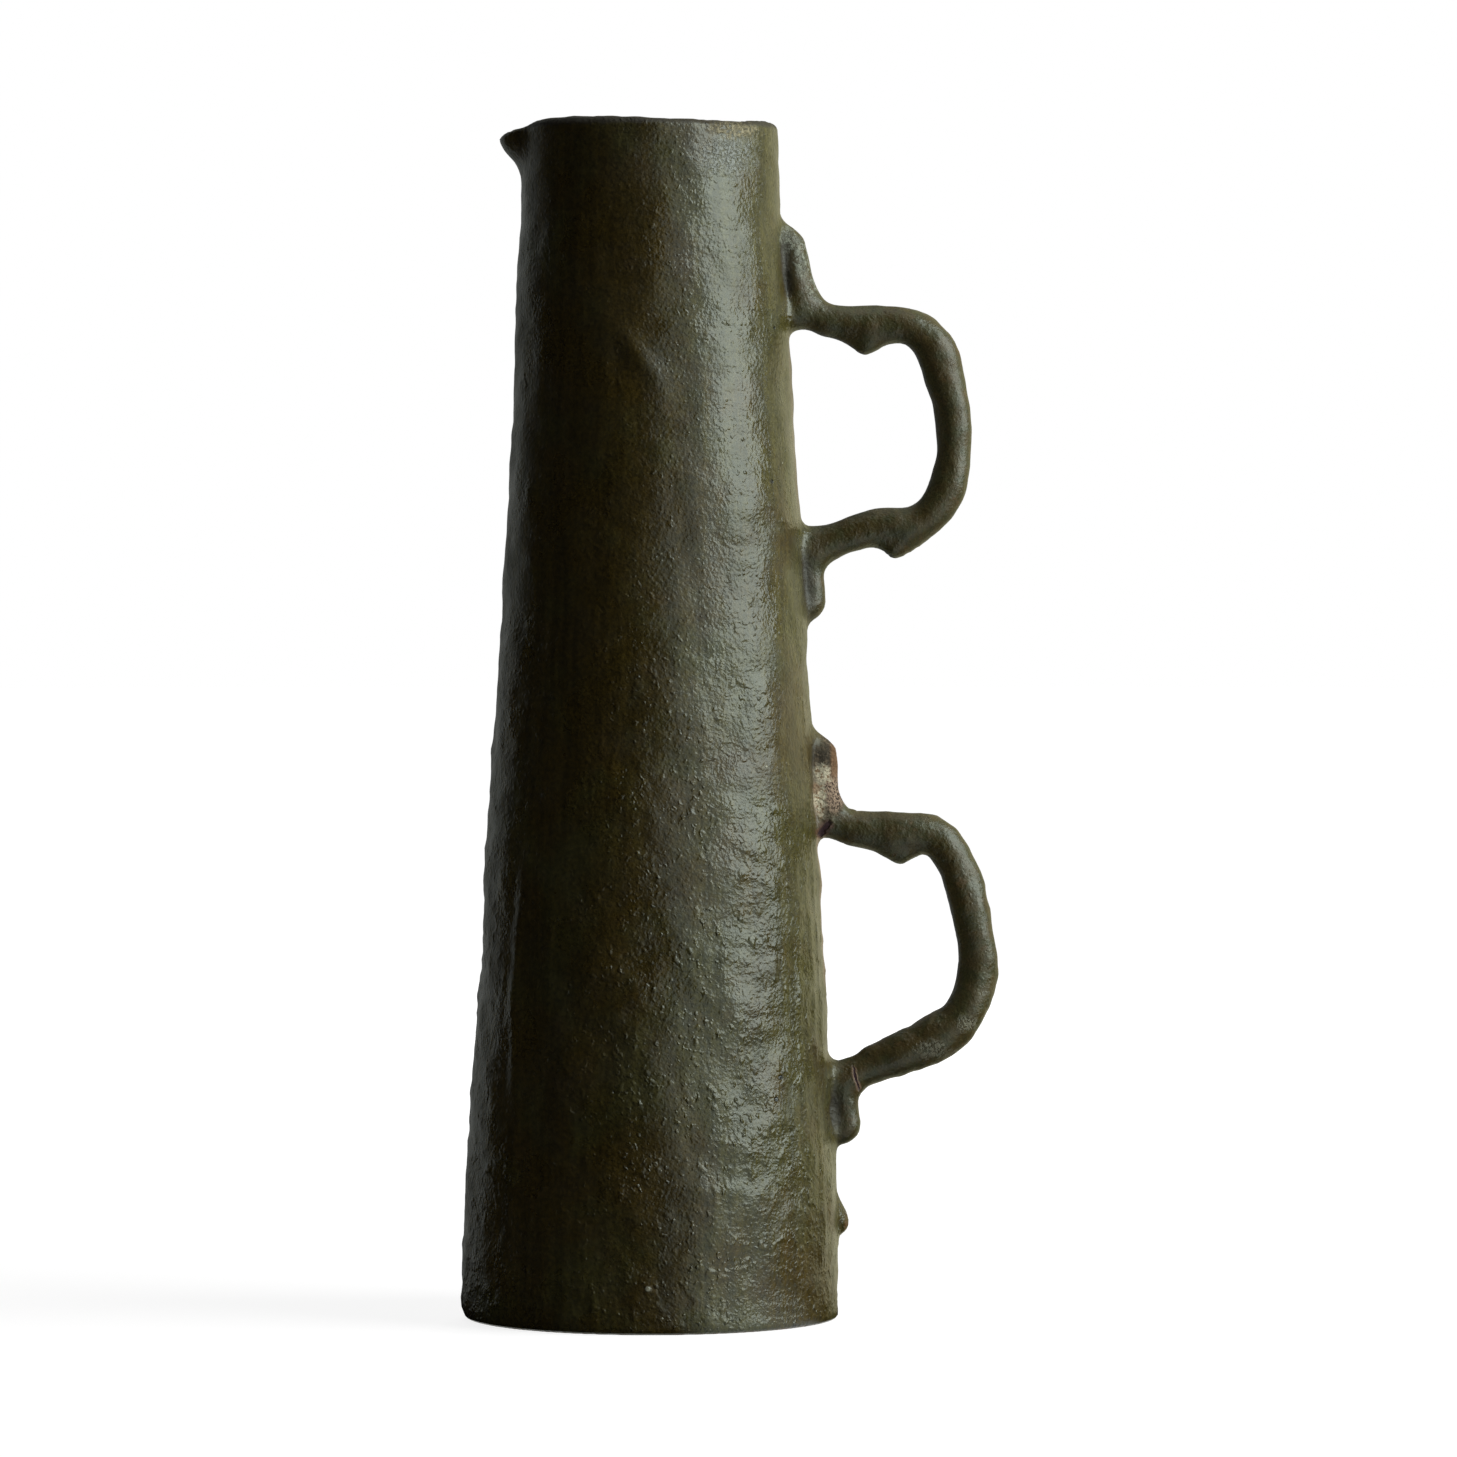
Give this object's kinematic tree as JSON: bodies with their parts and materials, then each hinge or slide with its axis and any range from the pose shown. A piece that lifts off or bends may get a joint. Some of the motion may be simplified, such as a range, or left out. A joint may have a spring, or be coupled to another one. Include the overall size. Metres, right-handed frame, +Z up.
{
  "type": "pitcher",
  "caption": "Tall tapered stoneware pitcher with a dark olive glaze, a small pulled lip and thorny, twig-like coil handles set one above the other.",
  "frame": {"origin": "centre of the flat base, on the surface that the pitcher stands on", "axes": "+Z up along the body's axis, +X towards the handles, -X towards the lip"},
  "size_m": [0.2144, 0.1506, 0.48],
  "materials": {
    "glaze": "satin"
  },
  "bodies": {
    "root": {"pitcher": "glaze"}
  },
  "joints": []
}
